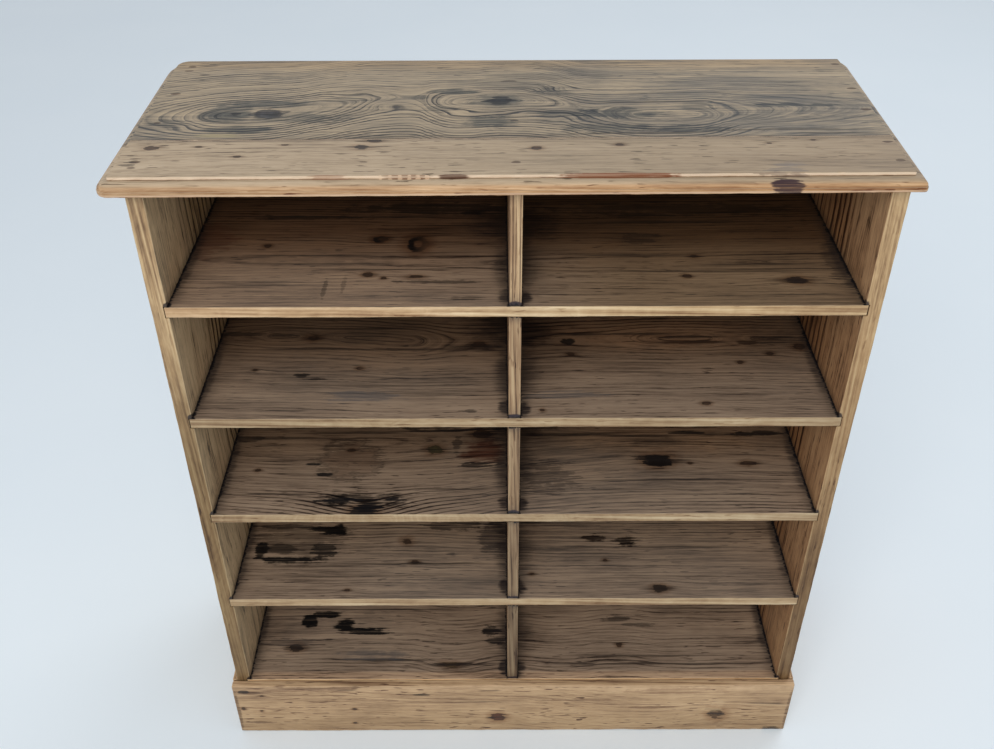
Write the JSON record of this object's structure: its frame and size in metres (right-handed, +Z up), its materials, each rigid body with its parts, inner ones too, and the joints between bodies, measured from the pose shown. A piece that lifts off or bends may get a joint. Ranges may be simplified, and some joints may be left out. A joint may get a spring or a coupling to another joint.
{
  "type": "open compartment cabinet",
  "caption": "Open pine cabinet of equal compartments in two columns, with a moulded top, housed shelves, short dividers, a boarded back and a plinth.",
  "frame": {"origin": "on the floor, under the middle of the cabinet's whole box", "axes": "+Z up, the open front faces -Y, +X to the right seen from the front"},
  "size_m": [1.04, 0.4099, 1.139],
  "materials": {
    "pine_top": "old pine, waxed and worn, greyed on top",
    "pine_side": "old pine, stripped and waxed",
    "pine_shelf": "old pine, worn grey-brown, with knots and stains",
    "pine_divider": "old pine, stripped and waxed",
    "pine_plinth": "old pine, stripped and waxed",
    "pine_back": "sawn pine, unfinished and darkened",
    "pine_block": "sawn pine, unfinished",
    "iron_nail": "rusted iron"
  },
  "bodies": {
    "root": {"top_front_board": "pine_top", "top_back_board": "pine_top", "side_left": "pine_side", "side_right": "pine_side", "shelf_1": "pine_shelf", "shelf_2": "pine_shelf", "shelf_3": "pine_shelf", "shelf_4": "pine_shelf", "bottom_shelf": "pine_shelf", "divider_1": "pine_divider", "divider_2": "pine_divider", "divider_3": "pine_divider", "divider_4": "pine_divider", "divider_5": "pine_divider", "back_board_1": "pine_back", "back_board_2": "pine_back", "back_board_3": "pine_back", "back_board_4": "pine_back", "back_board_5": "pine_back", "back_board_6": "pine_back", "back_board_7": "pine_back", "back_board_8": "pine_back", "plinth_front": "pine_plinth", "plinth_left": "pine_plinth", "plinth_right": "pine_plinth", "glue_block_left": "pine_block", "glue_block_right": "pine_block", "glue_block_middle": "pine_block", "nail_top_front_left_1": "iron_nail", "nail_top_front_left_2": "iron_nail", "nail_top_back_left_1": "iron_nail", "nail_top_back_left_2": "iron_nail", "nail_top_back_left_3": "iron_nail", "nail_top_back_left_4": "iron_nail", "nail_top_front_right_1": "iron_nail", "nail_top_front_right_2": "iron_nail", "nail_top_back_right_1": "iron_nail", "nail_top_back_right_2": "iron_nail", "nail_top_back_right_3": "iron_nail", "nail_top_divider": "iron_nail", "nail_plinth_left_low": "iron_nail", "nail_plinth_left_high": "iron_nail", "nail_plinth_right_low": "iron_nail", "nail_plinth_right_high": "iron_nail"}
  },
  "joints": []
}
